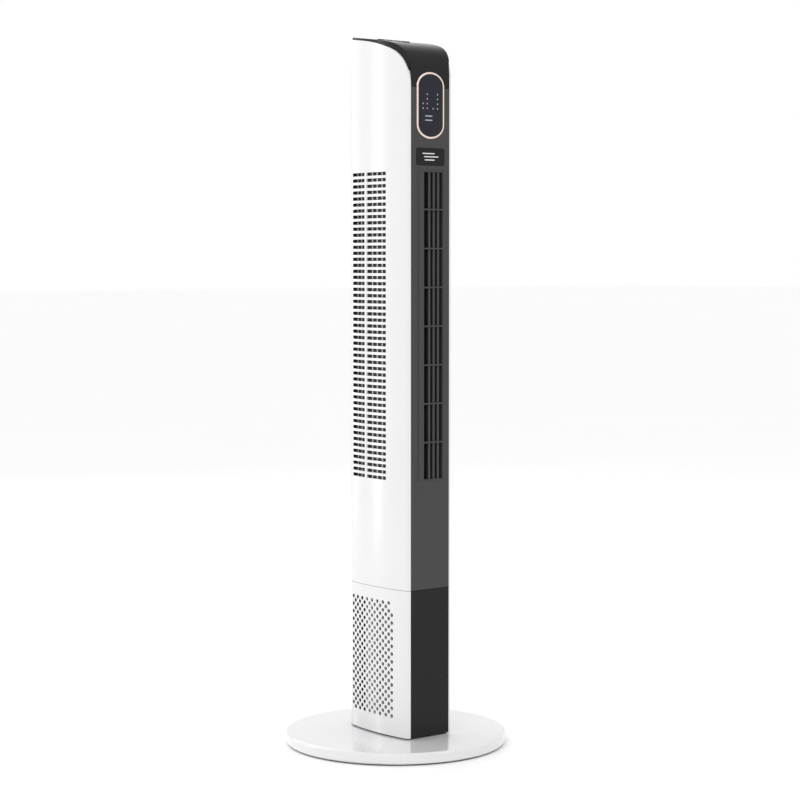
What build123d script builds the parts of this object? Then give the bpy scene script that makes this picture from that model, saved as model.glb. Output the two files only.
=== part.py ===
"""Tower fan: a round weighted foot, a slim tower that swings on it, a cross-flow wheel and a row of keys.

Millimetres, +Z up. The origin is on the floor under the swing axis and the air outlet faces -Y.
"""

import os
from math import atan, atan2, cos, degrees, pi, radians, sin, sqrt, tan

from build123d import *

# ---------------------------------------------------------------- driving dimensions
# foot
base_radius = 160.0
foot_height = 2.5  # rubber feet lift the foot off the floor
base_low = 2.0
base_rim_top = 18.0
base_top = 20.0
base_wall = 3.5

# tower in plan
half_width = 46.7
front_y = -78.7
rear_y = 79.0
widest_y = -12.0
side_radius = 330.0
front_corner = 6.0
rear_corner = 32.0
rear_corner_y = 41.0
wall = 2.6
fit_gap = 0.15

# tower in height
tower_low = 22.0
seam_z = 233.75  # between the lower and the upper housing
seam_gap = 0.5
cap_seam_z = 945.0
sky = 1100.0  # above everything
# side outlines of the top: distance behind the front, height
shell_line = [
    (0, 946), (1.5, 962), (8.7, 980.5), (20.7, 992.8), (49.7, 1005.2), (82.7, 1013),
    (122.7, 1018.3), (175, 1023),
]
cap_line = [
    (0, 955), (3.6, 984), (9.9, 995.2), (19.6, 1002.8), (35.8, 1008.8), (52.3, 1012.2), (75.4, 1015.5),
    (119, 1021.2), (175, 1025.5),
]
key_slope = 0.135  # rise of the cap where the keys are
key_crest = 1015.8  # height of the cap over the swing axis

# black front
front_half = 35.0
panel_depth = 3.0
flange_half = 36.5
flange_depth = 2.0

# air outlet and intakes
outlet_half = 23.2
outlet_low = 389.0
outlet_high = 829.0
rib_count = 7
rib_height = 2.2
rib_proud = 0.8
slat_places = [0.2, 8.4, 16.4]
slat_thickness = 4.0
slat_depth = 11.0
grille_openings = (-11.0, 22.2)  # the left frame strip is the broad one
grille_ridge = (-21.2, -18.6)  # thin raised line along that strip
slot_rows = 51
slot_pitch = 8.66
filter_inset = 4.4
filter_thickness = 1.2
slot_height = 4.9
slot_low_z = 392.0

# vent field of the lower housing
vent_columns = 16
vent_rows = 15
vent_step_y = 6.2
vent_pitch_z = 11.2
vent_first_y = -47.0
vent_first_z = 50.7
vent_hole = 2.9

# swing drive
tooth_module = 1.5
sun_teeth = 32
pinion_teeth = 14
post_radius = 14.0
running = 0.06  # radial clearance of a turning fit
swing_motor_y = 41.5

# wheel and motor
wheel_y = 14.0
wheel_radius = 35.0
wheel_inner = 27.0
wheel_low = 393.0
wheel_high = 821.0
blade_count = 30
shaft_radius = 4.0
spindle_radius = 3.0

# housing screws along the middle of the back
screw_heights = [242.0, 374.0, 843.0, 958.0]
screw_head = 3.6

# control panel and keys
bezel_z = 919.8
bezel_half = (25.0, 46.8)
bezel_end = 20.0
bezel_band = 2.8
badge_z = 848.0
badge_size = (52.0, 25.0)
key_radius = 7.0
key_places = {"power_key": -22.0, "speed_key": -4.0, "timer_key": 14.0, "swing_key": 32.0}
key_travel = 1.0

os.makedirs("parts", exist_ok=True)


def save(piece, name):
    """Labels a finished piece and writes its STEP file."""
    piece.part.label = name
    export_step(piece.part, f"parts/{name}.step")


lean = degrees(atan(key_slope))

# ---------------------------------------------------------------- shared shapes
def tower_plan(inset=0.0):
    """Plan of the tower, inset all round: flat front, small front corners, bowed sides, round rear."""
    side = Vector(side_radius - half_width, widest_y)
    front = Vector(0, front_y + front_corner)
    front.X = side.X - sqrt((side_radius - front_corner) ** 2 - (front.Y - side.Y) ** 2)
    rear = Vector(0, rear_corner_y)
    rear.X = side.X - sqrt((side_radius - rear_corner) ** 2 - (rear.Y - side.Y) ** 2)
    reach = rear_y - rear.Y
    back_radius = (rear.X**2 + reach**2 - rear_corner**2) / (2 * (reach - rear_corner))
    back = Vector(0, rear_y - back_radius)
    start = degrees(atan2(front.Y - side.Y, front.X - side.X)) % 360
    turn = degrees(atan2(rear.Y - side.Y, rear.X - side.X)) % 360
    close = degrees(atan2(rear.Y - back.Y, rear.X - back.X)) % 360
    with BuildSketch() as plan:
        with BuildLine():
            Line((0, front_y + inset), (front.X, front_y + inset))
            CenterArc(front, front_corner - inset, 270, start - 270)
            CenterArc(side, side_radius - inset, start, turn - start)
            CenterArc(rear, rear_corner - inset, turn, close - turn)
            CenterArc(back, back_radius - inset, close, 90 - close)
            mirror(about=Plane.YZ)
        make_face()
    return plan.sketch


def top_region(line, drop=0.0):
    """Side view of everything under a line of the top, lowered by `drop` square to that line."""
    points = [Vector(front_y + back, height) for back, height in line]
    ends = [Vector(0, 1), Vector(1, 0.07).normalized()]
    steps = [(after - before).normalized() for before, after in zip(points, points[2:])]
    along = [ends[0]] + steps + [ends[1]]
    points = [point + Vector(way.Y, -way.X) * drop for point, way in zip(points, along)]
    with BuildSketch() as region:
        with BuildLine():
            Spline(*points, tangents=ends)
            Polyline(points[-1], (points[-1].X, 0), (points[0].X, 0), points[0])
        make_face()
    return region.sketch


def prism(inset, low, high):
    """The tower's plan, inset, as an upright prism."""
    with BuildPart() as block:
        with BuildSketch(Plane.XY.offset(low)):
            add(tower_plan(inset))
        extrude(amount=high - low)
    return block.part


def crowned(inset, low, line, drop=0.0):
    """The inset prism cut off by the rounded top, which lies `drop` under the outer one."""
    with BuildPart() as under:
        with BuildSketch(Plane.YZ.offset(-half_width - 10)):
            add(top_region(line, drop))
        extrude(amount=2 * half_width + 20)
    with BuildPart() as block:
        add(prism(inset, low, sky))
        add(under.part, mode=Mode.INTERSECT)
    return block.part


def wheel_plane(z):
    """Level plane with its origin on the wheel's axis."""
    return Plane((0, wheel_y, z))


def box_between(low, high):
    """A box from its lowest corner to its highest one."""
    size = [b - a for a, b in zip(low, high)]
    with BuildPart() as block:
        with Locations(Vector(*low)):
            Box(*size, align=(Align.MIN, Align.MIN, Align.MIN))
    return block.part


def rod(radius, low, high, x=0.0, y=0.0):
    """An upright round bar."""
    with BuildPart() as bar:
        with Locations((x, y, low)):
            Cylinder(radius, high - low, align=(Align.CENTER, Align.CENTER, Align.MIN))
    return bar.part


def rod_along_y(radius, low, high, x, z):
    """A round bar that lies along Y."""
    with BuildPart() as bar:
        with BuildSketch(Plane.XZ.offset(-low)):
            with Locations((x, z)):
                Circle(radius)
        extrude(amount=low - high)
    return bar.part


def rear_boss(z, reach):
    """Boss for a housing screw on the centre line of the rear wall."""
    with BuildPart() as boss:
        add(rod_along_y(4.6, reach, rear_y - wall - fit_gap - 0.25, 0, z))
        add(rod_along_y(1.3, reach + 2, rear_y, 0, z), mode=Mode.SUBTRACT)
    return boss.part


def oval(half_x, half_z, end):
    """Tall panel outline with straight sides and half-elliptical ends."""
    with BuildSketch() as outline:
        Rectangle(2 * half_x, 2 * (half_z - end))
        with Locations((0, half_z - end), (0, end - half_z)):
            Ellipse(half_x, end)
    return outline.sketch


def oval_slab(half_x, half_z, end, near, far):
    """The oval as a slab between two depths, centred on the control panel."""
    with BuildPart() as slab:
        with BuildSketch(Plane.XZ.offset(-near)):
            with Locations((0, bezel_z)):
                add(oval(half_x, half_z, end))
        extrude(amount=near - far)
    return slab.part


# ---------------------------------------------------------------- foot
screw_circle = 110.0
post_screw_circle = 23.0
grommet_z = 10.0
grommet_radius = 4.7
groove_inner, groove_outer = 30.0, 36.0

with BuildPart() as base_shell:
    with BuildSketch(Plane.XZ) as half_section:
        with BuildLine():
            Polyline(
                (post_radius + 0.5, base_top - 3),
                (post_radius + 0.5, base_top),
                (96, base_top),
                (base_radius, base_rim_top),
                (base_radius, base_low),
                (base_radius - base_wall, base_low),
                (base_radius - base_wall, base_rim_top - 3),
                (96, base_top - 3),
                close=True,
            )
        make_face()
        fillet(half_section.vertices().group_by(Axis.X)[-1], 3.0)
    revolve(axis=Axis.Z)
    # shallow track for the slide ring
    with BuildSketch(Plane.XY.offset(base_top - 1)):
        Circle(groove_outer)
        Circle(groove_inner, mode=Mode.SUBTRACT)
    extrude(amount=2, mode=Mode.SUBTRACT)
    # screw bosses that reach down to the bottom plate
    with BuildSketch(Plane.XY.offset(5)):
        with PolarLocations(screw_circle, 6, start_angle=30):
            Circle(5)
    extrude(until=Until.NEXT)
    with BuildSketch(Plane.XY.offset(5)):
        with PolarLocations(screw_circle, 6, start_angle=30):
            Circle(1.8)
    extrude(amount=9, mode=Mode.SUBTRACT)
    with BuildSketch(Plane.XY.offset(base_top - 3)):
        with PolarLocations(post_screw_circle, 4, start_angle=45):
            Circle(1.5)
    extrude(amount=2, mode=Mode.SUBTRACT)
    # cord outlet at the back
    add(rod_along_y(grommet_radius + 0.05, 150, 165, 0, grommet_z), mode=Mode.SUBTRACT)
save(base_shell, "base_shell")

with BuildPart() as base_bottom_plate:
    with BuildSketch(Plane.XY.offset(foot_height)):
        Circle(base_radius - base_wall - 0.3)
    extrude(amount=2.5)
    with BuildSketch(Plane.XY.offset(foot_height)):
        with PolarLocations(screw_circle, 6, start_angle=30):
            Circle(3.8)
    extrude(amount=1.3, mode=Mode.SUBTRACT)
    with BuildSketch(Plane.XY.offset(foot_height)):
        with PolarLocations(screw_circle, 6, start_angle=30):
            Circle(2.0)
    extrude(amount=3, mode=Mode.SUBTRACT)
save(base_bottom_plate, "base_bottom_plate")

with BuildPart() as ballast_plate:
    with BuildSketch(Plane.XY.offset(5)):
        Circle(128)
        Circle(36, mode=Mode.SUBTRACT)
        with PolarLocations(screw_circle, 6, start_angle=30):
            Circle(5.8, mode=Mode.SUBTRACT)
    extrude(amount=5)
save(ballast_plate, "ballast_plate")

with BuildPart() as rubber_feet:
    with PolarLocations(136, 6):
        with Locations((0, 0, 0)):
            Cylinder(9, foot_height, align=(Align.CENTER, Align.CENTER, Align.MIN))
    chamfer(rubber_feet.edges().group_by(Axis.Z)[0], 0.6)
save(rubber_feet, "rubber_feet")

with BuildPart() as base_screws:
    with BuildSketch(Plane.XY.offset(foot_height)):
        with PolarLocations(screw_circle, 6, start_angle=30):
            Circle(3.5)
            RegularPolygon(1.4, 6, mode=Mode.SUBTRACT)
    extrude(amount=1.25)
    with BuildSketch(Plane.XY.offset(foot_height + 1)):
        with PolarLocations(screw_circle, 6, start_angle=30):
            Circle(1.75)
    extrude(amount=10)
save(base_screws, "base_screws")

with BuildPart() as pivot_post:
    with BuildSketch(Plane.XZ):
        with BuildLine():
            Polyline(
                (8.5, 12.5),
                (29, 12.5),
                (29, 17),
                (post_radius, 17),
                (post_radius, 32.5),
                (12, 32.5),
                (12, 50),
                (8.5, 50),
                close=True,
            )
        make_face()
    revolve(axis=Axis.Z)
    with BuildSketch(Plane.XY.offset(12.5)):
        with PolarLocations(post_screw_circle, 4, start_angle=45):
            Circle(1.6)
    extrude(amount=4.5, mode=Mode.SUBTRACT)
save(pivot_post, "pivot_post")

with BuildPart() as pivot_screws:
    with BuildSketch(Plane.XY.offset(10.5)):
        with PolarLocations(post_screw_circle, 4, start_angle=45):
            Circle(3)
    extrude(amount=2)
    with BuildSketch(Plane.XY.offset(12.5)):
        with PolarLocations(post_screw_circle, 4, start_angle=45):
            Circle(1.45)
    extrude(amount=6)
save(pivot_screws, "pivot_screws")

with BuildPart() as slide_ring:
    with BuildSketch(Plane.XY.offset(base_top - 1)):
        Circle(groove_outer - 0.1)
        Circle(groove_inner + 0.1, mode=Mode.SUBTRACT)
    extrude(amount=tower_low - base_top + 1 - 0.05)
    chamfer(slide_ring.edges().group_by(Axis.Z)[-1], 0.4)
save(slide_ring, "slide_ring")

with BuildPart() as cord_grommet:
    add(rod_along_y(grommet_radius, 146, 159.5, 0, grommet_z))
    add(rod_along_y(3.2, 145, 165, 0, grommet_z), mode=Mode.SUBTRACT)
    chamfer(cord_grommet.edges().group_by(Axis.Y)[-1].sort_by(SortBy.LENGTH)[0], 0.5)
save(cord_grommet, "cord_grommet")


# ---------------------------------------------------------------- swing drive
def gear_sketch(teeth, backlash):
    """Spur gear outline of 20 degree involute teeth, thinned by the backlash."""
    pressure = radians(20)
    pitch = tooth_module * teeth / 2
    base = pitch * cos(pressure)
    tip = pitch + 0.85 * tooth_module
    root = pitch - 1.25 * tooth_module
    half_tooth = pi / (2 * teeth) - backlash / (2 * pitch)
    shift = tan(pressure) - pressure

    def flank(radius):
        lean = sqrt(max(radius**2 / base**2 - 1, 0))
        angle = half_tooth + shift - (lean - atan(lean))
        return Vector(radius * cos(angle), radius * sin(angle))

    start = max(base, root)
    steps = 4
    curve = [flank(start + (tip - start) * k / steps) for k in range(steps + 1)]
    foot = curve[0].normalized() * (root - 0.2)
    with BuildSketch() as gear:
        Circle(root)
        with PolarLocations(0, teeth):
            with BuildLine():
                lower_flank = [Vector(p.X, -p.Y) for p in reversed([foot] + curve)]
                Polyline(*lower_flank, foot, *curve, close=True)
            make_face()
    return gear.sketch


gear_low, gear_high = 32.5, 38.5
pinion_y = tooth_module * (sun_teeth + pinion_teeth) / 2
shaft_rest = 51.0

sun_outline = gear_sketch(sun_teeth, 0.25)
pinion_outline = gear_sketch(pinion_teeth, 0.25)

with BuildPart() as sun_gear:
    with BuildSketch(Plane.XY.offset(gear_low)):
        with Locations(Rotation(0, 0, 90)):
            add(sun_outline)
        Circle(12.03, mode=Mode.SUBTRACT)
    extrude(amount=gear_high - gear_low)
save(sun_gear, "sun_gear")

with BuildPart() as pivot_nut:
    with BuildSketch(Plane.XY.offset(gear_high + 0.1)):
        RegularPolygon(16, 6)
        Circle(12.03, mode=Mode.SUBTRACT)
    extrude(amount=6)
save(pivot_nut, "pivot_nut")

with BuildPart() as drive_pinion:
    # the pinion turns a gap towards the sun gear's tooth at rest
    with BuildSketch(Plane((0, pinion_y, gear_low - 0.5))):
        with Locations(Rotation(0, 0, 90 + 180 / pinion_teeth)):
            add(pinion_outline)
    extrude(amount=gear_high - gear_low + 1)
    add(rod(3.5, gear_low, shaft_rest, 0, pinion_y))
save(drive_pinion, "drive_pinion")

motor_ear = 29.5
boss_high = 46.0
leg_places = [(-35.5, -50), (35.5, -50), (-27, 57), (27, 57)]

with BuildPart() as turntable:
    add(prism(wall + fit_gap, tower_low, tower_low + 4))
    add(box_between((-60, -90, 0), (60, front_y + panel_depth + flange_depth + 0.3, sky)), mode=Mode.SUBTRACT)
    add(rod(19, tower_low, 32))
    for x in (-motor_ear, motor_ear):
        add(rod(4.4, tower_low + 2, boss_high, x, swing_motor_y))
    for x in (-motor_ear, motor_ear):
        add(rod(1.3, 34, boss_high + 1, x, swing_motor_y), mode=Mode.SUBTRACT)
    add(rod(post_radius + running, 0, 40), mode=Mode.SUBTRACT)
    for x, y in leg_places:
        add(rod(1.7, 20, 30, x, y), mode=Mode.SUBTRACT)
        add(rod(3.6, 20, tower_low + 1.9, x, y), mode=Mode.SUBTRACT)
save(turntable, "turntable")

with BuildPart() as swing_motor:
    add(rod(24.5, boss_high, boss_high + 20, 0, swing_motor_y))
    fillet(swing_motor.edges().group_by(Axis.Z)[-1], 1.5)
    add(rod(6.5, boss_high - 3, boss_high + 1, 0, pinion_y))
    with BuildSketch(Plane((0, swing_motor_y, boss_high))):
        SlotOverall(2 * motor_ear + 9, 9)
    extrude(amount=1.6)
    for x in (-motor_ear, motor_ear):
        add(rod(1.7, 40, boss_high + 3, x, swing_motor_y), mode=Mode.SUBTRACT)
    add(rod(3.6, 40, shaft_rest + 0.5, 0, pinion_y), mode=Mode.SUBTRACT)
save(swing_motor, "swing_motor")

with BuildPart() as swing_motor_screws:
    for x in (-motor_ear, motor_ear):
        add(rod(3.0, boss_high + 1.6, boss_high + 3.6, x, swing_motor_y))
        add(rod(1.25, 36, boss_high + 2, x, swing_motor_y))
save(swing_motor_screws, "swing_motor_screws")

with BuildPart() as turntable_screws:
    for x, y in leg_places:
        add(rod(3.3, tower_low + 0.2, tower_low + 1.9, x, y))
        add(rod(1.6, tower_low + 1, 40, x, y))
save(turntable_screws, "turntable_screws")

# ---------------------------------------------------------------- lower housing
lower_high = seam_z - seam_gap / 2
upper_low = seam_z + seam_gap / 2
vent_low, vent_high = 43.0, 222.0
vent_near, vent_far = -53.0, 52.0
leg_size = 8.0

with BuildPart() as lower_shell:
    add(prism(0, tower_low, lower_high))
    add(prism(wall, tower_low - 1, sky), mode=Mode.SUBTRACT)
    add(box_between((-front_half, -90, 0), (front_half, -60, sky)), mode=Mode.SUBTRACT)
    add(box_between((-60, vent_near, vent_low), (60, vent_far, vent_high)), mode=Mode.SUBTRACT)
save(lower_shell, "lower_shell")


def wall_patch(side, near, far, low, high):
    """The piece of the housing wall on one side (-1 or 1) between two depths and two heights."""
    with BuildPart() as patch:
        add(prism(0, low, high))
        add(prism(wall, low - 1, high + 1), mode=Mode.SUBTRACT)
        reach = sorted((side * 5, side * 60))
        add(box_between((reach[0], near, low), (reach[1], far, high)), mode=Mode.INTERSECT)
    return patch.part


def vent_panel(side, name):
    """Curved panel with a diamond field of round holes."""
    with BuildPart() as panel:
        add(wall_patch(side, vent_near, vent_far, vent_low, vent_high))
        with BuildSketch(Plane.YZ):
            for column in range(vent_columns):
                lift = vent_pitch_z / 2 * (column % 2)
                y = vent_first_y + column * vent_step_y
                count = vent_rows - 1 if column == 0 else vent_rows
                rows = [(y, vent_first_z + lift + row * vent_pitch_z) for row in range(count)]
                with Locations(*rows):
                    Circle(vent_hole)
        extrude(amount=side * 60, mode=Mode.SUBTRACT)
    save(panel, name)


vent_panel(-1, "left_vent_panel")
vent_panel(1, "right_vent_panel")

board_low, board_high = 88.0, 206.0
board_x = 30.0
board_y = -61.0
stud_places = [(x, z) for x in (-25, 25) for z in (board_low + 6, board_high - 6)]


def front_plate(low, high):
    """Flat black front between the white edges, with flanges that hook behind them."""
    with BuildPart() as plate:
        add(box_between((-front_half + 0.1, front_y, low), (front_half - 0.1, front_y + panel_depth, high)))
        for side in (-1, 1):
            x = sorted((side * (flange_half - 6), side * flange_half))
            y = front_y + panel_depth
            add(box_between((x[0], y, low + 1), (x[1], y + flange_depth, high - 1)))
    return plate.part


with BuildPart() as lower_front_panel:
    add(front_plate(tower_low, lower_high))
    for x, z in stud_places:
        add(rod_along_y(3.2, front_y + 2, board_y, x, z))
        add(rod_along_y(1.2, front_y + 5, board_y + 1, x, z), mode=Mode.SUBTRACT)
save(lower_front_panel, "lower_front_panel")

with BuildPart() as power_board:
    add(box_between((-board_x, board_y, board_low), (board_x, board_y + 1.6, board_high)))
    for x, z in stud_places:
        add(rod_along_y(1.6, board_y - 1, board_y + 3, x, z), mode=Mode.SUBTRACT)
save(power_board, "power_board")

with BuildPart() as power_board_parts:
    face = board_y + 1.6
    add(box_between((-24, face, 104), (-4, face + 15, 120)))
    add(box_between((2, face, 102), (22, face + 17, 128)))
    for z in (138, 156, 174):
        add(box_between((-22, face, z), (-4, face + 13, z + 11)))
    for x, z in ((6, 142), (18, 142), (12, 156)):
        add(rod_along_y(5, face, face + 18, x, z))
    add(box_between((0, face, 176), (22, face + 9, 184)))
save(power_board_parts, "power_board_parts")

with BuildPart() as power_board_screws:
    for x, z in stud_places:
        add(rod_along_y(2.8, board_y + 1.6, board_y + 3.2, x, z))
        add(rod_along_y(1.15, front_y + 8, board_y + 2, x, z))
save(power_board_screws, "power_board_screws")

frame_low = 226.0
with BuildPart() as joining_frame:
    # the frame straddles the seam and stands on four legs
    add(prism(wall + fit_gap, frame_low, 250))
    add(prism(wall + fit_gap + 2.5, frame_low + 3, sky), mode=Mode.SUBTRACT)
    add(box_between((-60, -90, 0), (60, front_y + panel_depth + flange_depth + 0.5, sky)), mode=Mode.SUBTRACT)
    for x, y in leg_places:
        half = leg_size / 2
        add(box_between((x - half, y - half, tower_low + 4), (x + half, y + half, frame_low + 1)))
        add(rod(1.65, tower_low, 41, x, y), mode=Mode.SUBTRACT)
    add(rod(14, 0, sky), mode=Mode.SUBTRACT)
    with BuildSketch(Plane.XY.offset(frame_low)):
        with Locations((0, -40), (0, 45)):
            SlotOverall(44, 10)
    extrude(amount=10, mode=Mode.SUBTRACT)
    add(rear_boss(screw_heights[0], 62))
    add(rod_along_y(1.3, 64, rear_y, 0, screw_heights[0]), mode=Mode.SUBTRACT)
save(joining_frame, "joining_frame")

# ---------------------------------------------------------------- upper housing
intake_near, intake_far = -40.0, 51.0
intake_low, intake_high = 385.0, 832.0
rear_intake_half = 23.0

with BuildPart() as upper_shell:
    add(crowned(0, upper_low, shell_line))
    add(prism(wall, upper_low - 1, sky), mode=Mode.SUBTRACT)
    add(box_between((-front_half, -90, 0), (front_half, -60, sky)), mode=Mode.SUBTRACT)
    add(box_between((-60, intake_near, intake_low), (60, intake_far, intake_high)), mode=Mode.SUBTRACT)
    add(
        box_between((-rear_intake_half, 60, intake_low), (rear_intake_half, 90, intake_high)),
        mode=Mode.SUBTRACT,
    )
    for z in screw_heights:
        add(rod_along_y(screw_head + 0.3, rear_y - 1.3, rear_y + 2, 0, z), mode=Mode.SUBTRACT)
        add(rod_along_y(1.8, rear_y - 5, rear_y, 0, z), mode=Mode.SUBTRACT)
save(upper_shell, "upper_shell")

slot_columns = [(-35.5, 9.0, 3), (14.0, 46.5, 2)]
slot_heights = [slot_low_z + k * slot_pitch for k in range(slot_rows)]


def intake_grille(side, name):
    """Side intake: two columns of level slots with thin upright ribs behind them."""
    with BuildPart() as grille:
        add(wall_patch(side, intake_near, intake_far, intake_low, intake_high))
        with BuildSketch(Plane.YZ):
            for near, far, _ in slot_columns:
                with Locations(*[((near + far) / 2, z) for z in slot_heights]):
                    Rectangle(far - near, slot_height)
        extrude(amount=side * 60, mode=Mode.SUBTRACT)
        # upright ribs on the inner face
        with BuildSketch(Plane.XY.offset(intake_low)):
            add(tower_plan(wall - 0.2))
            add(tower_plan(wall + 1.6), mode=Mode.SUBTRACT)
            strips = []
            for near, far, ribs in slot_columns:
                strips += [near + (far - near) * k / (ribs + 1) for k in range(1, ribs + 1)]
            with Locations(*[(side * 40, y) for y in strips]):
                Rectangle(30, 0.9, mode=Mode.INTERSECT)
        extrude(amount=intake_high - intake_low)
    save(grille, name)


intake_grille(-1, "left_intake_grille")
intake_grille(1, "right_intake_grille")

with BuildPart() as rear_intake_grille:
    add(prism(0, intake_low, intake_high))
    add(prism(wall, intake_low - 1, intake_high + 1), mode=Mode.SUBTRACT)
    add(
        box_between((-rear_intake_half, 60, intake_low), (rear_intake_half, 90, intake_high)),
        mode=Mode.INTERSECT,
    )
    with BuildSketch(Plane.XZ.offset(-90)):
        for x in (-10.5, 10.5):
            with Locations(*[(x, z) for z in slot_heights]):
                Rectangle(18, slot_height)
    extrude(amount=60, mode=Mode.SUBTRACT)
save(rear_intake_grille, "rear_intake_grille")

# ---------------------------------------------------------------- black front and air outlet
front_high = cap_seam_z - seam_gap / 2
badge_depth = 1.2

with BuildPart() as front_panel:
    add(front_plate(upper_low, front_high))
    add(
        box_between((-outlet_half, -90, outlet_low), (outlet_half, -60, outlet_high)),
        mode=Mode.SUBTRACT,
    )
    add(oval_slab(*bezel_half, bezel_end, -90, -60), mode=Mode.SUBTRACT)
    with BuildSketch(Plane.XZ.offset(-front_y)):
        with Locations((0, badge_z)):
            RectangleRounded(*badge_size, 4)
    extrude(amount=-badge_depth, mode=Mode.SUBTRACT)
save(front_panel, "front_panel")

with BuildPart() as badge_plate:
    # a plain plate with three level bars that stand for moving air
    with BuildSketch(Plane.XZ.offset(-front_y - badge_depth)):
        with Locations((0, badge_z)):
            RectangleRounded(badge_size[0] - 0.3, badge_size[1] - 0.3, 3.8)
    extrude(amount=0.8)
    with BuildSketch(Plane.XZ.offset(-front_y - badge_depth + 0.7)):
        for shift, row, length in ((-3, 4.5, 22), (2, 0, 26), (-1, -4.5, 18)):
            with Locations((shift, badge_z + row)):
                SlotOverall(length, 1.5)
    extrude(amount=0.4)
save(badge_plate, "badge_plate")

rib_pitch = (outlet_high - outlet_low) / (rib_count + 1)
grille_front = front_y + 0.6
near_x, far_x = grille_openings

with BuildPart() as outlet_grille:
    # frame with a broad strip on the left, cross ribs, and upright slats behind them
    with BuildSketch(Plane.XZ.offset(-grille_front)):
        with Locations((0, (outlet_low + outlet_high) / 2)):
            Rectangle(2 * outlet_half - 0.3, outlet_high - outlet_low - 0.3)
        with Locations(((near_x + far_x) / 2, (outlet_low + outlet_high) / 2)):
            Rectangle(far_x - near_x, outlet_high - outlet_low - 5, mode=Mode.SUBTRACT)
    extrude(amount=-7)
    add(box_between(
        (-outlet_half + 0.15, front_y - 0.7, outlet_low + 0.15),
        (near_x, grille_front + 1, outlet_high - 0.15),
    ))
    chamfer(outlet_grille.edges().filter_by(Axis.Z).group_by(Axis.Y)[0], 0.6)
    add(box_between(
        (grille_ridge[0], front_y - 1.2, outlet_low + 0.15),
        (grille_ridge[1], front_y, outlet_high - 0.15),
    ))
    for k in range(1, rib_count + 1):
        z = outlet_low + k * rib_pitch
        add(box_between(
            (near_x - 1, grille_front - rib_proud, z - rib_height / 2),
            (outlet_half - 0.15, grille_front + 6, z + rib_height / 2),
        ))
    for x in slat_places:
        half = slat_thickness / 2
        add(box_between(
            (x - half, grille_front + 1.5, outlet_low + 1),
            (x + half, grille_front + 1.5 + slat_depth, outlet_high - 1),
        ))
save(outlet_grille, "outlet_grille")

# ---------------------------------------------------------------- control panel
lens_half = (bezel_half[0] - bezel_band, bezel_half[1] - bezel_band)
lens_end = bezel_end - bezel_band
bezel_front = front_y - 1.0
with BuildPart() as control_bezel:
    add(oval_slab(bezel_half[0] - 0.1, bezel_half[1] - 0.1, bezel_end, bezel_front, front_y + panel_depth))
    fillet(control_bezel.edges().group_by(Axis.Y)[0], 0.8)
    add(oval_slab(*lens_half, lens_end, -90, -60), mode=Mode.SUBTRACT)
save(control_bezel, "control_bezel")

lens_front = front_y - 0.2
window_depth = 0.6
dot_rows = [935.5, 928.9, 922.3, 915.7]
window_dots = [(-5.6, z) for z in dot_rows] + [(13.0, z) for z in dot_rows]
window_dots += [(-13.0, z) for z in dot_rows[2:]] + [(5.0, dot_rows[3])]
window_bars = [(-2.8, 905.0), (-2.8, 899.2)]


def windows(near, far, spare=0.0):
    """Small light windows of the display: round dots and two short bars."""
    with BuildPart() as field:
        with BuildSketch(Plane.XZ.offset(-near)):
            with Locations(*window_dots):
                Circle(1.1 + spare)
            with Locations(*window_bars):
                SlotOverall(13 + 2 * spare, 1.6 + 2 * spare)
        extrude(amount=near - far)
    return field.part


with BuildPart() as control_lens:
    add(oval_slab(lens_half[0] - 0.1, lens_half[1] - 0.1, lens_end, lens_front, lens_front + 2.2))
    add(windows(lens_front - 1, lens_front + window_depth), mode=Mode.SUBTRACT)
save(control_lens, "control_lens")

with BuildPart() as indicator_windows:
    add(windows(lens_front, lens_front + window_depth, -0.02))
save(indicator_windows, "indicator_windows")

display_y = front_y + 9.0
with BuildPart() as display_board:
    add(oval_slab(21.5, 44, 17, display_y, display_y + 1.6))
    for z in (bezel_z - 36, bezel_z + 36):
        add(rod_along_y(1.3, display_y - 1, display_y + 3, 0, z), mode=Mode.SUBTRACT)
save(display_board, "display_board")

with BuildPart() as indicator_leds:
    with BuildSketch(Plane.XZ.offset(-display_y)):
        with Locations(*window_dots, *window_bars):
            Rectangle(3.2, 2.0)
    extrude(amount=1.0)
save(indicator_leds, "indicator_leds")

# ---------------------------------------------------------------- top cap and keys
cap_wall = 2.6


def top_plane(y, height=0.0):
    """Plane on the sloping top over a point of the centre line, raised along its normal."""
    spot = Plane((0, y, key_crest + key_slope * y), x_dir=(1, 0, 0),
                 z_dir=(0, -sin(radians(lean)), cos(radians(lean))))
    return spot.offset(height)


def cap_outline(inset, low, drop=0.0):
    """Inside of the white edge plus the black nose between the edges, under the crowned top."""
    with BuildSketch() as nose:
        add(tower_plan(inset))
        with Locations((0, front_y)):
            Rectangle(2 * (front_half - 0.1 - inset), 40, mode=Mode.INTERSECT)
    with BuildPart() as under:
        with BuildSketch(Plane.YZ.offset(-half_width - 10)):
            add(top_region(cap_line, drop))
        extrude(amount=2 * half_width + 20)
    with BuildPart() as body:
        with BuildSketch(Plane.XY.offset(low)):
            add(tower_plan(wall + fit_gap + inset))
            add(nose.sketch)
        extrude(amount=sky - low)
        add(under.part, mode=Mode.INTERSECT)
    return body.part


with BuildPart() as top_cap:
    add(cap_outline(0, front_high + seam_gap))
    add(cap_outline(cap_wall, front_high - 1, cap_wall), mode=Mode.SUBTRACT)
    add(rear_boss(screw_heights[3], 64))
    add(rod_along_y(1.3, 66, rear_y, 0, screw_heights[3]), mode=Mode.SUBTRACT)
    add(oval_slab(*bezel_half, bezel_end, -90, -60), mode=Mode.SUBTRACT)
    for y in key_places.values():
        with BuildSketch(top_plane(y, 3)):
            Circle(key_radius + 0.35)
        extrude(amount=-12, mode=Mode.SUBTRACT)
save(top_cap, "top_cap")

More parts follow.
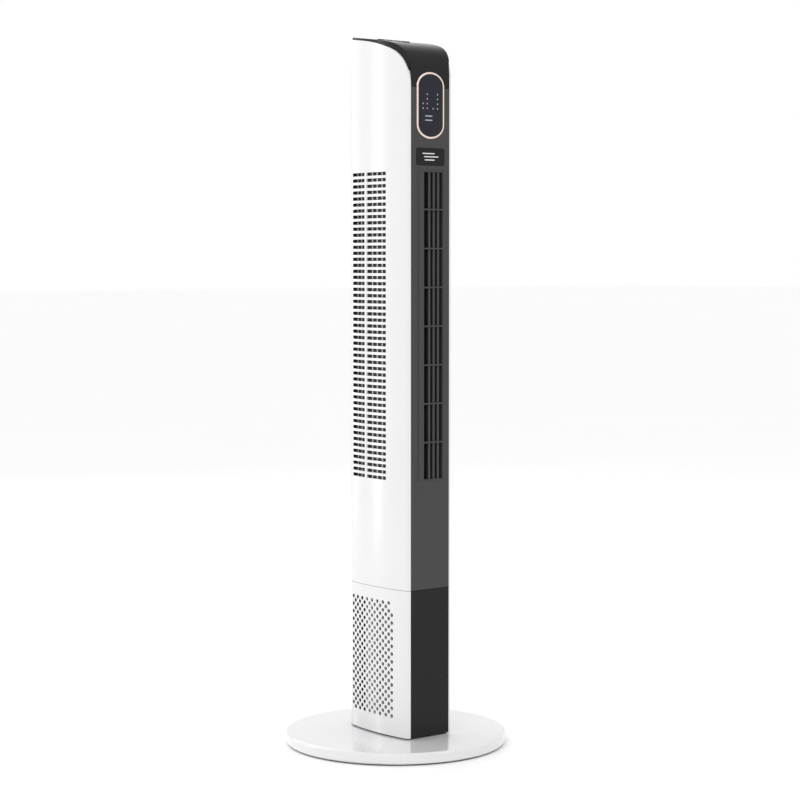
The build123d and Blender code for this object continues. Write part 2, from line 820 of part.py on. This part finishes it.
key_proud = 1.3
for name, y in key_places.items():
    with BuildPart() as key:
        with BuildSketch(top_plane(y, -cap_wall - 1.8)):
            Circle(key_radius)
        extrude(amount=cap_wall + 1.8 + key_proud)
        fillet(key.faces().sort_by(Axis.Z)[-1].edges(), 0.7)
        # rim that keeps the key in and stem that reaches the switch
        with BuildSketch(top_plane(y, -cap_wall - 1.8)):
            Circle(key_radius + 1.6)
        extrude(amount=1.2)
        with BuildSketch(top_plane(y, -cap_wall - 4.5)):
            Circle(1.8)
        extrude(amount=3)
    save(key, name)

switch_top = -cap_wall - 4.5 - key_travel - 0.4
switch_height = 3.5
with BuildPart() as key_board:
    with BuildSketch(top_plane(0, switch_top - switch_height - 1.6)):
        Rectangle(34, 84)
    extrude(amount=1.6)
save(key_board, "key_board")

with BuildPart() as key_switches:
    for y in key_places.values():
        with BuildSketch(top_plane(y, switch_top - switch_height)):
            Rectangle(6, 6)
        extrude(amount=switch_height - 0.8)
        with BuildSketch(top_plane(y, switch_top - 1)):
            Circle(1.7)
        extrude(amount=1)
save(key_switches, "key_switches")

# ---------------------------------------------------------------- air duct
duct_skin = 1.8
duct_arcs = [
    [(22, 31.5), (36.1, 13.1), (38.8, -4)],
    [(38.8, -4), (36.6, -30), (27.5, -76)],
    [(-35, -15), (-30.5, -32), (-27.5, -76)],
]
plate_low, plate_high = 386.0, 829.0
plate_thickness = 3.0
damper_places = [(x, wheel_y + y) for x in (-24, 24) for y in (-24, 24)]


def inner_slab(low, high):
    """Plate that fills the inside of the tower, short of the black front's flanges."""
    with BuildPart() as slab:
        add(prism(wall + 1.6 + fit_gap, low, high))
        add(box_between((-60, -90, 0), (60, front_y + 13.2, sky)), mode=Mode.SUBTRACT)
    return slab.part


with BuildPart() as air_duct:
    # scroll wall that opens from behind the wheel to the outlet, and the tongue facing it
    with BuildSketch(wheel_plane(plate_low + plate_thickness - 0.5)):
        for arc in duct_arcs:
            with BuildLine():
                ThreePointArc(*arc)
                offset(amount=duct_skin / 2, kind=Kind.ARC)
            make_face()
    extrude(amount=plate_high - plate_low - plate_thickness + 1)
    add(inner_slab(plate_low, plate_low + plate_thickness))
    add(inner_slab(plate_high, plate_high + plate_thickness))
    for z, edge in ((screw_heights[1], plate_low + 1), (screw_heights[2], plate_high + 1)):
        add(rear_boss(z, 64))
        add(box_between((-4.6, 64, min(z, edge)), (4.6, 75.8, max(z, edge))))
        add(rod_along_y(1.3, 66, rear_y, 0, z), mode=Mode.SUBTRACT)
    for x, y in damper_places:
        add(rod(4.4, plate_low, plate_low + 5.5, x, y))
        add(rod(1.3, plate_low - 1, plate_low + 5.3, x, y), mode=Mode.SUBTRACT)
    add(rod(11, plate_high + 1, plate_high + 12, 0, wheel_y))
    add(rod(9.5, 300, plate_high + 9, 0, wheel_y), mode=Mode.SUBTRACT)
    add(rod(4.5, 300, sky, 0, wheel_y), mode=Mode.SUBTRACT)
save(air_duct, "air_duct")

with BuildPart() as dust_filter:
    # one sheet bent round the inside of the intakes, behind their ribs
    add(prism(filter_inset, plate_low + plate_thickness + 0.3, plate_high - 0.3))
    add(prism(filter_inset + filter_thickness, plate_low, plate_high), mode=Mode.SUBTRACT)
    add(box_between((-60, -90, 0), (60, intake_near - 2, sky)), mode=Mode.SUBTRACT)
save(dust_filter, "dust_filter")

with BuildPart() as bearing_seat:
    add(rod(9.45, plate_high + 0.5, plate_high + 9, 0, wheel_y))
    add(rod(6, plate_high, plate_high + 10, 0, wheel_y), mode=Mode.SUBTRACT)
save(bearing_seat, "bearing_seat")

with BuildPart() as upper_bearing:
    add(rod(6, plate_high + 0.5, plate_high + 9, 0, wheel_y))
    add(rod(spindle_radius + running, plate_high, plate_high + 10, 0, wheel_y), mode=Mode.SUBTRACT)
    chamfer(upper_bearing.edges().filter_by(GeomType.CIRCLE).group_by(SortBy.RADIUS)[0], 0.4)
save(upper_bearing, "upper_bearing")

# ---------------------------------------------------------------- cross-flow wheel
section_count = 6
disc_thickness = 1.6
hub_height = 12.0
section = (wheel_high - wheel_low - disc_thickness) / section_count

with BuildPart() as cross_flow_wheel:
    # curved blades between an inner and an outer circle
    with BuildSketch(wheel_plane(wheel_low)):
        with PolarLocations(0, blade_count):
            with BuildLine():
                RadiusArc((wheel_inner, -1.0), (wheel_radius - 0.2, 2.4), -9)
                offset(amount=0.45, kind=Kind.ARC)
            make_face()
    extrude(amount=wheel_high - wheel_low)
    for k in range(section_count + 1):
        with BuildSketch(wheel_plane(wheel_low + k * section)):
            Circle(wheel_radius)
            if 0 < k < section_count:
                Circle(wheel_inner - 1.5, mode=Mode.SUBTRACT)
        extrude(amount=disc_thickness)
    for low in (wheel_low, wheel_high - hub_height):
        with BuildSketch(wheel_plane(low)):
            Circle(11)
        extrude(amount=hub_height)
    with BuildSketch(wheel_plane(wheel_low)):
        Circle(8)
    extrude(amount=hub_height, mode=Mode.SUBTRACT)
    with BuildSketch(wheel_plane(wheel_high - hub_height)):
        Circle(spindle_radius)
    extrude(amount=hub_height, mode=Mode.SUBTRACT)
save(cross_flow_wheel, "cross_flow_wheel")

with BuildPart() as wheel_spindle:
    add(rod(spindle_radius, wheel_high - hub_height, plate_high + 10.5, 0, wheel_y))
    chamfer(wheel_spindle.edges().group_by(Axis.Z)[-1], 0.5)
save(wheel_spindle, "wheel_spindle")

with BuildPart() as wheel_coupling:
    add(rod(8, wheel_low, wheel_low + hub_height, 0, wheel_y))
    add(rod(shaft_radius, wheel_low - 1, wheel_low + hub_height + 1, 0, wheel_y), mode=Mode.SUBTRACT)
save(wheel_coupling, "wheel_coupling")

# ---------------------------------------------------------------- fan motor
can_radius = 30.0
can_low, can_high = 314.0, 370.0
bearing_radius = 9.0
bearing_height = 6.0

with BuildPart() as motor_housing:
    add(rod(can_radius, can_low, can_high, 0, wheel_y))
    fillet(motor_housing.edges().group_by(Axis.Z)[0], 3)
    add(rod(38, can_high, can_high + 2, 0, wheel_y))
    add(rod(can_radius - 2, can_low + 2, can_high, 0, wheel_y), mode=Mode.SUBTRACT)
    for low in (can_low + 1, can_high - bearing_height):
        add(rod(bearing_radius + 2, low, low + bearing_height + 1, 0, wheel_y))
        add(rod(bearing_radius, low + 1, low + 1 + bearing_height, 0, wheel_y), mode=Mode.SUBTRACT)
    add(rod(bearing_radius - 2, can_low - 1, can_high + 3, 0, wheel_y), mode=Mode.SUBTRACT)
    for x, y in damper_places:
        add(rod(1.7, can_high - 1, can_high + 3, x, y), mode=Mode.SUBTRACT)
    # cooling slots
    with BuildSketch(wheel_plane(can_low + 13)):
        with PolarLocations(can_radius - 1, 12, start_angle=15):
            Rectangle(8, 3)
    extrude(amount=30, mode=Mode.SUBTRACT)
save(motor_housing, "motor_housing")

with BuildPart() as motor_bearings:
    for low in (can_low + 2, can_high - bearing_height + 1):
        add(rod(bearing_radius, low, low + bearing_height, 0, wheel_y))
        add(rod(shaft_radius + running, low - 1, low + bearing_height + 1, 0, wheel_y), mode=Mode.SUBTRACT)
save(motor_bearings, "motor_bearings")

stack_low, stack_high = 326.0, 358.0
with BuildPart() as motor_stator:
    with BuildSketch(wheel_plane(stack_low)):
        Circle(can_radius - 2)
        Circle(21.5, mode=Mode.SUBTRACT)
        with PolarLocations(23.5, 12):
            Rectangle(5, 3.2, mode=Mode.SUBTRACT)
    extrude(amount=stack_high - stack_low)
save(motor_stator, "motor_stator")

with BuildPart() as motor_rotor:
    with BuildSketch(wheel_plane(stack_low)):
        Circle(21)
        Circle(shaft_radius, mode=Mode.SUBTRACT)
    extrude(amount=stack_high - stack_low)
    chamfer(motor_rotor.edges().filter_by(GeomType.CIRCLE).group_by(SortBy.RADIUS)[-1], 0.8)
save(motor_rotor, "motor_rotor")

with BuildPart() as motor_shaft:
    add(rod(shaft_radius, can_low - 4, wheel_low + hub_height, 0, wheel_y))
    chamfer(motor_shaft.edges().group_by(Axis.Z)[0], 0.6)
save(motor_shaft, "motor_shaft")

with BuildPart() as motor_dampers:
    for x, y in damper_places:
        add(rod(4.4, can_high + 2, plate_low, x, y))
    for x, y in damper_places:
        add(rod(1.8, can_high, plate_low + 1, x, y), mode=Mode.SUBTRACT)
save(motor_dampers, "motor_dampers")

with BuildPart() as motor_screws:
    for x, y in damper_places:
        add(rod(3, can_high - 2.2, can_high, x, y))
        add(rod(1.25, can_high - 1, plate_low + 5, x, y))
save(motor_screws, "motor_screws")

with BuildPart() as housing_screws:
    for z in screw_heights:
        add(rod_along_y(screw_head, rear_y - 1.3, rear_y - 0.1, 0, z))
        add(rod_along_y(1.25, rear_y - 11, rear_y - 1, 0, z))
    for z in screw_heights:
        add(rod_along_y(1.4, rear_y - 0.9, rear_y, 0, z), mode=Mode.SUBTRACT)
save(housing_screws, "housing_screws")
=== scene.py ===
"""Looks of the tower fan: finishes for its moulded, plated, rubber and steel pieces, and a studio."""

import math

import bpy
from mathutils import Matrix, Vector

bl_info = {
    "name": "Tower fan finishes",
    "version": (1, 0, 0),
    "blender": (4, 5, 0),
    "location": "View3D > Sidebar > Tower Fan",
    "description": "Finishes for the pieces of a slim tower fan on a round foot",
    "category": "Object",
}

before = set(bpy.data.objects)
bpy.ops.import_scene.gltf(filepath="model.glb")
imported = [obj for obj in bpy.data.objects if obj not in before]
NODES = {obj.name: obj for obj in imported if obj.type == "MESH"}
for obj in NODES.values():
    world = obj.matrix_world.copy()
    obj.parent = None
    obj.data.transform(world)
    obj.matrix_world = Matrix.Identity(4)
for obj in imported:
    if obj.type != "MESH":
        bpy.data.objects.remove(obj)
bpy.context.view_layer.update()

# places on the fan, in metres
WARM_COLUMN = (-0.0075, -0.0035)  # where the warm light windows are, across the display
WARM_HEIGHTS = (0.912, 0.940)  # and between which heights
BADGE_FACE = -0.0784  # bars of the badge lie in front of this depth
BADGE_REACH = 0.002  # and at most this far in front of it
FILTER_PITCH = 0.0011  # distance between the threads of the dust filter
INWARD_LIMIT = 0.012  # position times normal, below which a face counts as an inner one


# ---------------------------------------------------------------- shader building
class Value:
    """A number socket that takes part in Python expressions."""

    def __init__(self, shader, socket):
        self.shader = shader
        self.socket = socket

    def _math(self, operation, first, second):
        return self.shader.value("ShaderNodeMath", {"operation": operation}, {0: first, 1: second})

    def __add__(self, other):
        return self._math("ADD", self, other)

    def __radd__(self, other):
        return self._math("ADD", other, self)

    def __sub__(self, other):
        return self._math("SUBTRACT", self, other)

    def __rsub__(self, other):
        return self._math("SUBTRACT", other, self)

    def __mul__(self, other):
        return self._math("MULTIPLY", self, other)

    def __rmul__(self, other):
        return self._math("MULTIPLY", other, self)

    def clipped(self, low, high):
        """The value held between two limits."""
        return self._math("MINIMUM", self._math("MAXIMUM", self, low), high)


class Shader:
    """A new material with a Principled surface, and a short way to add nodes to it."""

    def __init__(self, name):
        self.material = bpy.data.materials.new(name)
        self.material.use_nodes = True
        self.tree = self.material.node_tree
        self.surface = next(n for n in self.tree.nodes if n.type == "BSDF_PRINCIPLED")

    def node(self, kind, settings=None, inputs=None):
        """Adds a node: its settings first, then the values or links of its sockets."""
        made = self.tree.nodes.new(kind)
        for key, setting in (settings or {}).items():
            if key == "stops":
                ramp = made.color_ramp
                while len(ramp.elements) < len(setting):
                    ramp.elements.new(0.5)
                for element, (place, colour) in zip(ramp.elements, setting):
                    element.position = place
                    element.color = colour
            else:
                setattr(made, key, setting)
        for key, value in (inputs or {}).items():
            self.feed(made.inputs[key], value)
        return made

    def feed(self, socket, value):
        """Sets a socket's value, or links another socket into it."""
        if isinstance(value, Value):
            self.tree.links.new(value.socket, socket)
        elif isinstance(value, bpy.types.NodeSocket):
            self.tree.links.new(value, socket)
        else:
            socket.default_value = value

    def value(self, kind, settings=None, inputs=None, output=0):
        """Adds a node and gives one of its number outputs as an expression value."""
        return Value(self, self.node(kind, settings, inputs).outputs[output])

    def place(self):
        """Position on the object, in metres."""
        return self.node("ShaderNodeTexCoord").outputs["Object"]

    def noise(self, scale, detail=2.0, vector=None):
        """Fine random value between 0 and 1, with `scale` bumps to the metre."""
        where = vector if vector is not None else self.place()
        return self.value(
            "ShaderNodeTexNoise", {}, {"Vector": where, "Scale": scale, "Detail": detail}, "Fac"
        )

    def stretched(self, factors):
        """Position scaled along each axis, for brushed or drawn textures."""
        return self.node(
            "ShaderNodeVectorMath", {"operation": "MULTIPLY"}, {0: self.place(), 1: factors}
        ).outputs[0]

    def band(self, value, low, high):
        """Value that is 1 between two limits and 0 outside."""
        above = value._math("GREATER_THAN", value, low)
        return above * value._math("LESS_THAN", value, high)

    def parts(self, vector):
        """The three numbers of a vector socket."""
        made = self.node("ShaderNodeSeparateXYZ", {}, {"Vector": vector})
        return [Value(self, made.outputs[axis]) for axis in ("X", "Y", "Z")]

    def inward(self):
        """1 on faces that look toward the upright axis of the tower, 0 on the others."""
        x, y, _ = self.parts(self.place())
        across, along, _ = self.parts(self.node("ShaderNodeNewGeometry").outputs["True Normal"])
        facing = x * across + y * along
        return facing._math("LESS_THAN", facing, -INWARD_LIMIT)

    def blend(self, factor, first, second):
        """Mix of two colours."""
        made = self.node("ShaderNodeMix", {"data_type": "RGBA"})
        self.feed(made.inputs[0], factor)
        self.feed(made.inputs[6], first)
        self.feed(made.inputs[7], second)
        return made.outputs[2]

    def bump(self, height, depth, strength=1.0):
        """Normal from a height value, with `depth` in metres."""
        return self.node(
            "ShaderNodeBump", {}, {"Height": height, "Distance": depth, "Strength": strength}
        ).outputs[0]

    def finish(self, **sockets):
        """Feeds the surface's sockets and returns the material."""
        for name, value in sockets.items():
            self.feed(self.surface.inputs[name.replace("_", " ")], value)
        return self.material


def shade(colour, factor):
    """A darker or lighter version of a colour."""
    return tuple(min(1.0, c * factor) for c in colour[:3]) + (1.0,)


# ---------------------------------------------------------------- finishes
def moulded_gloss(name, colour, roughness=0.22, peel=1.0, shine=0.5, coat=0.12):
    """Glossy moulded plastic: slight orange peel, faint flow shade and dust-dulled patches."""
    s = Shader(name)
    flow = s.noise(7.0, 3.0)
    peel_bumps = s.noise(420.0, 2.0)
    dust = s.noise(38.0, 5.0)
    return s.finish(
        Base_Color=s.blend(flow, shade(colour, 0.96), shade(colour, 1.03)),
        Roughness=(roughness + dust * 0.10 - 0.05).clipped(0.04, 1.0),
        Normal=s.bump(peel_bumps, 0.00002 * peel, 0.35),
        IOR=1.52,
        Specular_IOR_Level=shine,
        Coat_Weight=coat,
        Coat_Roughness=0.08,
    )


def housing_gloss(name, colour, inner_shade_colour):
    """Glossy white moulding whose inner faces are dull and get painted shade: a dark colour in place of the
    white.
    """
    s = Shader(name)
    inner = s.inward()
    flow = s.noise(7.0, 3.0)
    peel_bumps = s.noise(420.0, 2.0)
    dust = s.noise(38.0, 5.0)
    outer = s.blend(flow, shade(colour, 0.97), shade(colour, 1.02))
    return s.finish(
        # painted shade: faces that look toward the tower's axis take the dark colour instead of the white
        Base_Color=s.blend(inner, outer, shade(inner_shade_colour, 1.0)),
        Roughness=(0.2 + dust * 0.10 - 0.05 + inner * 0.4).clipped(0.04, 1.0),
        Normal=s.bump(peel_bumps, 0.00002, 0.35),
        IOR=1.52,
        Coat_Weight=0.15,
        Coat_Roughness=0.06,
    )


def moulded_grain(name, colour, roughness=0.5, grain=2600.0, depth=0.00004):
    """Moulded plastic with a fine spark-eroded grain."""
    s = Shader(name)
    texture = s.noise(grain, 3.0)
    tone = s.noise(22.0, 3.0)
    return s.finish(
        Base_Color=s.blend(tone, shade(colour, 0.92), shade(colour, 1.08)),
        Roughness=(roughness + texture * 0.14 - 0.07).clipped(0.1, 1.0),
        Normal=s.bump(texture, depth, 0.5),
        IOR=1.5,
    )


def plated(name, colour):
    """Polished plated trim with the faint waviness of plated plastic."""
    s = Shader(name)
    wave = s.noise(160.0, 2.0)
    haze = s.noise(900.0, 4.0)
    return s.finish(
        Base_Color=s.blend(wave, shade(colour, 0.94), shade(colour, 1.04)),
        Roughness=(0.16 + haze * 0.10).clipped(0.05, 1.0),
        Metallic=1.0,
        Normal=s.bump(wave, 0.00003, 0.3),
    )


def metal(name, colour, roughness, drawn):
    """Bare or zinc-plated steel with drawn or turned marks."""
    s = Shader(name)
    lines = s.noise(900.0, 3.0, s.stretched(drawn))
    stain = s.noise(60.0, 4.0)
    return s.finish(
        Base_Color=s.blend(stain, shade(colour, 0.88), shade(colour, 1.06)),
        Roughness=(roughness + lines * 0.18 - 0.09).clipped(0.08, 1.0),
        Metallic=1.0,
        Normal=s.bump(lines, 0.00002, 0.4),
    )


def rubbery(name, colour):
    """Matt rubber with a fine bloom."""
    s = Shader(name)
    grain = s.noise(1500.0, 4.0)
    bloom = s.noise(70.0, 4.0)
    return s.finish(
        Base_Color=s.blend(bloom, shade(colour, 0.85), shade(colour, 1.5)),
        Roughness=(0.72 + bloom * 0.2).clipped(0.3, 1.0),
        Normal=s.bump(grain, 0.00005, 0.5),
    )


def woven_mesh(name, colour, pitch):
    """Woven filter mesh: level and upright threads with dark gaps and a little lint."""
    s = Shader(name)
    x, y, z = s.parts(s.place())
    turns = 2 * math.pi / pitch
    level = s.value("ShaderNodeMath", {"operation": "SINE"}, {0: z * turns})
    upright = s.value("ShaderNodeMath", {"operation": "SINE"}, {0: (x + y) * turns})
    threads = (level * 0.5 + 0.5) * (upright * 0.5 + 0.5)
    lint = s.noise(120.0, 4.0)
    dusty = s.blend(lint, shade(colour, 1.0), shade(colour, 1.6))
    return s.finish(
        Base_Color=s.blend(threads, shade(colour, 0.35), dusty),
        Roughness=(0.7 + lint * 0.2).clipped(0.3, 1.0),
        Normal=s.bump(threads, 0.0002, 0.6),
    )


def lamp_window(name, colour, warm, strength):
    """Translucent light windows with a soft glow; one column of them is warmer than the rest."""
    s = Shader(name)
    cloud = s.noise(900.0, 2.0)
    across, _, height = s.parts(s.place())
    column = s.band(across, *WARM_COLUMN) * s.band(height, *WARM_HEIGHTS)
    tint = s.blend(column, shade(colour, 1.0), shade(warm, 1.0))
    lit = s.blend(cloud * 0.5, tint, shade(colour, 0.4))
    return s.finish(
        Base_Color=lit,
        Emission_Color=lit,
        Emission_Strength=strength,
        Roughness=(0.3 + cloud * 0.1).clipped(0.1, 1.0),
    )


def badge(name, plate, raised):
    """Dark badge plate whose raised bars are polished bright."""
    s = Shader(name)
    depth = s.parts(s.place())[1]
    bars = s.band(depth, BADGE_FACE - BADGE_REACH, BADGE_FACE)
    grain = s.noise(2200.0, 3.0)
    field = s.blend(grain, shade(plate, 0.9), shade(plate, 1.2))
    return s.finish(
        Base_Color=s.blend(bars, field, shade(raised, 1.0)),
        Roughness=(0.34 + grain * 0.1 - bars * 0.12).clipped(0.1, 1.0),
        Metallic=bars * 0.8,
        Normal=s.bump(grain, 0.00002, 0.4),
        Specular_IOR_Level=0.2,
    )


# ---------------------------------------------------------------- sizes and colours
class FanLooks(bpy.types.PropertyGroup):
    """Sizes and colours that a user may change."""

    white: bpy.props.FloatVectorProperty(
        name="Housing", description="Colour of the glossy housing and foot", subtype="COLOR",
        default=(0.70, 0.702, 0.71), min=0, max=1)
    black: bpy.props.FloatVectorProperty(
        name="Front", description="Colour of the satin front and the outlet grille", subtype="COLOR",
        default=(0.0275, 0.0275, 0.029), min=0, max=1)
    trim: bpy.props.FloatVectorProperty(
        name="Trim ring", description="Colour of the plated ring round the display", subtype="COLOR",
        default=(0.88, 0.71, 0.62), min=0, max=1)
    display: bpy.props.FloatVectorProperty(
        name="Display", description="Colour of the smoked display window", subtype="COLOR",
        default=(0.010, 0.012, 0.018), min=0, max=1)
    glow: bpy.props.FloatProperty(
        name="Light windows", description="Brightness of the light windows",
        default=0.4, min=0, max=20)
    lens_mm: bpy.props.FloatProperty(
        name="Lens", description="Focal length of the camera", subtype="DISTANCE_CAMERA",
        default=97.04, min=20, max=300)


class StudioLooks(bpy.types.PropertyGroup):
    """Floor and light of the studio."""

    floor: bpy.props.FloatVectorProperty(
        name="Floor", description="Colour of the plain floor", subtype="COLOR",
        default=(0.96, 0.96, 0.96), min=0, max=1)
    world: bpy.props.FloatProperty(
        name="Sky light", description="Strength of the even light from all sides",
        default=1.0, min=0, max=10)


# ---------------------------------------------------------------- studio places
FLOOR_REACH = 40.0  # half the width of the floor, far enough to have no visible edge
SENSOR_MM = 36
CAMERA_PLACE = (-1.9400, -2.4419, 0.7036)
CAMERA_DOWN = 3.730  # degrees below level
CAMERA_ROUND = 38.584  # degrees round from the front

# name, place, aim, width, height and power of each light
# the strips show as upright bands on the housing
LIGHTS = (
    ("key_light", (-2.5, -1.5, 1.9), (0, 0, 0.6), 1.2, 1.2, 16),
    ("strip_light", (-1.75, 2.0, 0.9), (0, 0, 0.6), 0.22, 2.2, 9),
    ("far_strip_light", (-0.8, 2.5, 0.9), (0, 0, 0.6), 0.16, 2.2, 6),
    ("front_light", (1.2, -3.2, 2.6), (0, 0, 0.5), 1.4, 1.4, 8),
    ("back_light", (0.8, 2.8, 2.2), (0, 0, 0.6), 2.0, 2.0, 14),
)

# ---------------------------------------------------------------- pieces by finish
HOUSING = ["lower_shell", "upper_shell", "left_vent_panel", "right_vent_panel",
         "left_intake_grille", "right_intake_grille", "rear_intake_grille"]
KEYS = ["power_key", "speed_key", "timer_key", "swing_key"]
GREY = ["turntable", "base_bottom_plate", "pivot_post"]
DARK = ["cross_flow_wheel", "air_duct", "joining_frame"]
FILTER = ["dust_filter"]
RUBBER = ["rubber_feet", "cord_grommet", "motor_dampers", "wheel_coupling", "bearing_seat"]
STEEL = ["base_screws", "pivot_screws", "pivot_nut", "swing_motor", "swing_motor_screws",
         "turntable_screws", "power_board_screws", "motor_housing", "motor_screws", "housing_screws",
         "wheel_spindle", "motor_shaft"]
ACETAL = ["slide_ring", "sun_gear", "drive_pinion"]
BOARDS = ["power_board", "display_board", "key_board"]
BRONZE = ["upper_bearing", "motor_bearings"]
CORES = ["motor_stator", "motor_rotor"]


def wear(names, material):
    """Puts a material on CAD nodes through their material slots."""
    for name in names:
        node = NODES.get(name)
        if node is None:
            raise RuntimeError(f"the frame has no node {name}")
        if not node.material_slots:
            node.data.materials.append(material)
        for slot in node.material_slots:
            slot.material = material


class FAN_OT_housing(bpy.types.Operator):
    """Gives the white housing, grilles and foot their glossy finish"""

    bl_idname = "fan.housing"
    bl_label = "White housing"

    def execute(self, context):
        looks = context.scene.fan_looks
        # the dark colour passed here is painted shade for the housing's inner faces
        wear(HOUSING, housing_gloss("white_housing", looks.white, (0.03, 0.03, 0.032)))
        wear(["base_shell"], moulded_gloss("white_gloss", looks.white, roughness=0.12, coat=0.5))
        return {"FINISHED"}


class FAN_OT_front(bpy.types.Operator):
    """Gives the black front, cap, grille and badge their satin finish"""

    bl_idname = "fan.front"
    bl_label = "Black front"

    def execute(self, context):
        looks = context.scene.fan_looks
        wear(["front_panel", "outlet_grille"],
             moulded_gloss("black_satin", looks.black, roughness=0.34, shine=0.45, coat=0.0))
        # the cap and lower front panel get a darker copy of the front colour; on the lower front panel it
        # is painted shade for the front being lighter at the top and darker at the bottom
        wear(["top_cap", "lower_front_panel"],
             moulded_gloss("black_gloss", shade(looks.black, 0.55), roughness=0.2, shine=0.12, coat=0.0))
        wear(["badge_plate"], badge("badge_print", shade(looks.black, 0.25), (0.75, 0.75, 0.76)))
        wear(KEYS, moulded_gloss("key_gloss", shade(looks.black, 1.2), roughness=0.12, shine=0.6, coat=0.2))
        return {"FINISHED"}


class FAN_OT_display(bpy.types.Operator):
    """Finishes the plated ring, the smoked window and its light windows"""

    bl_idname = "fan.display"
    bl_label = "Display"

    def execute(self, context):
        looks = context.scene.fan_looks
        wear(["control_bezel"], plated("rose_gold_plate", looks.trim))
        wear(["control_lens"],
             moulded_gloss("smoked_window", looks.display, roughness=0.08, peel=0.3, shine=0.22, coat=0.0))
        wear(["indicator_windows", "indicator_leds"],
             lamp_window("light_window", (0.30, 0.32, 0.36), (0.40, 0.27, 0.31), looks.glow))
        return {"FINISHED"}


class FAN_OT_inside(bpy.types.Operator):
    """Finishes the wheel, motors, gears, boards, bearings, screws and rubber pieces"""

    bl_idname = "fan.inside"
    bl_label = "Inside"

    def execute(self, context):
        wear(GREY, moulded_grain("grey_moulding", (0.16, 0.165, 0.17)))
        wear(DARK, moulded_grain("dark_moulding", (0.018, 0.018, 0.020), 0.45))
        wear(FILTER, woven_mesh("filter_mesh", (0.045, 0.046, 0.05), FILTER_PITCH))
        wear(ACETAL, moulded_grain("acetal", (0.78, 0.76, 0.70), 0.38, 1800.0, 0.00002))
        wear(RUBBER, rubbery("rubber", (0.03, 0.03, 0.032)))
        wear(STEEL, metal("zinc_steel", (0.58, 0.58, 0.60), 0.34, (1, 1, 12)))
        wear(CORES, metal("laminations", (0.30, 0.30, 0.31), 0.48, (1, 1, 60)))
        wear(BRONZE, metal("sintered_bronze", (0.62, 0.43, 0.24), 0.45, (1, 1, 1)))
        wear(["ballast_plate"], moulded_grain("primed_iron", (0.10, 0.10, 0.105), 0.6, 900.0, 0.0001))
        wear(BOARDS, moulded_gloss("board_lacquer", (0.02, 0.16, 0.07), 0.3))
        wear(["power_board_parts", "key_switches"],
             moulded_grain("component_case", (0.05, 0.05, 0.06), 0.4))
        return {"FINISHED"}


class FAN_OT_studio(bpy.types.Operator):
    """Builds the pale floor, the soft lights and the camera"""

    bl_idname = "fan.studio"
    bl_label = "Studio"

    def execute(self, context):
        scene = context.scene
        looks = scene.fan_looks
        studio = scene.fan_studio

        floor_mesh = bpy.data.meshes.new("studio_floor")
        corners = [(x * FLOOR_REACH, y * FLOOR_REACH, 0) for x, y in ((-1, -1), (1, -1), (1, 1), (-1, 1))]
        floor_mesh.from_pydata(corners, [], [(0, 1, 2, 3)])
        floor = bpy.data.objects.new("studio_floor", floor_mesh)
        scene.collection.objects.link(floor)
        s = Shader("floor_paint")
        tone = s.noise(1.5, 2.0)
        floor_mesh.materials.append(s.finish(
            Base_Color=s.blend(tone, shade(studio.floor, 0.99), shade(studio.floor, 1.01)),
            Roughness=(0.55 + tone * 0.1).clipped(0.2, 1.0)))

        world = bpy.data.worlds.new("studio_sky")
        world.use_nodes = True
        sky = next(n for n in world.node_tree.nodes if n.type == "BACKGROUND")
        sky.inputs["Color"].default_value = (1, 1, 1, 1)
        sky.inputs["Strength"].default_value = studio.world
        scene.world = world
        scene.view_settings.view_transform = "Standard"

        for name, place, aim, wide, high, power in LIGHTS:
            data = bpy.data.lights.new(name, "AREA")
            data.shape = "RECTANGLE"
            data.size = wide
            data.size_y = high
            data.energy = power
            lamp = bpy.data.objects.new(name, data)
            lamp.location = place
            lamp.rotation_euler = (Vector(aim) - Vector(place)).to_track_quat("-Z", "Y").to_euler()
            scene.collection.objects.link(lamp)

        camera_data = bpy.data.cameras.new("studio_camera")
        camera_data.lens = looks.lens_mm
        camera_data.sensor_width = SENSOR_MM
        camera = bpy.data.objects.new("studio_camera", camera_data)
        camera.location = CAMERA_PLACE
        camera.rotation_euler = (math.radians(90 - CAMERA_DOWN), 0, math.radians(-CAMERA_ROUND))
        scene.collection.objects.link(camera)
        scene.camera = camera
        return {"FINISHED"}


class FAN_PT_panel(bpy.types.Panel):
    """Shows the fan's looks, the studio settings and the steps in the sidebar"""

    bl_idname = "FAN_PT_panel"
    bl_label = "Tower Fan"
    bl_space_type = "VIEW_3D"
    bl_region_type = "UI"
    bl_category = "Tower Fan"

    def draw(self, context):
        looks = context.scene.fan_looks
        studio = context.scene.fan_studio
        for group, names in ((looks, ("white", "black", "trim", "display", "glow", "lens_mm")),
                             (studio, ("floor", "world"))):
            for name in names:
                self.layout.prop(group, name)
        for step in STEPS:
            self.layout.operator(step.bl_idname)


STEPS = (FAN_OT_housing, FAN_OT_front, FAN_OT_display, FAN_OT_inside, FAN_OT_studio)
CLASSES = (FanLooks, StudioLooks) + STEPS + (FAN_PT_panel,)


def register():
    for cls in CLASSES:
        bpy.utils.register_class(cls)
    bpy.types.Scene.fan_looks = bpy.props.PointerProperty(type=FanLooks)
    bpy.types.Scene.fan_studio = bpy.props.PointerProperty(type=StudioLooks)


def unregister():
    del bpy.types.Scene.fan_studio
    del bpy.types.Scene.fan_looks
    for cls in reversed(CLASSES):
        bpy.utils.unregister_class(cls)


def main():
    """Registers the classes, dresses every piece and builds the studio."""
    register()
    bpy.ops.fan.housing()
    bpy.ops.fan.front()
    bpy.ops.fan.display()
    bpy.ops.fan.inside()
    bpy.ops.fan.studio()


if __name__ == "__main__":
    main()
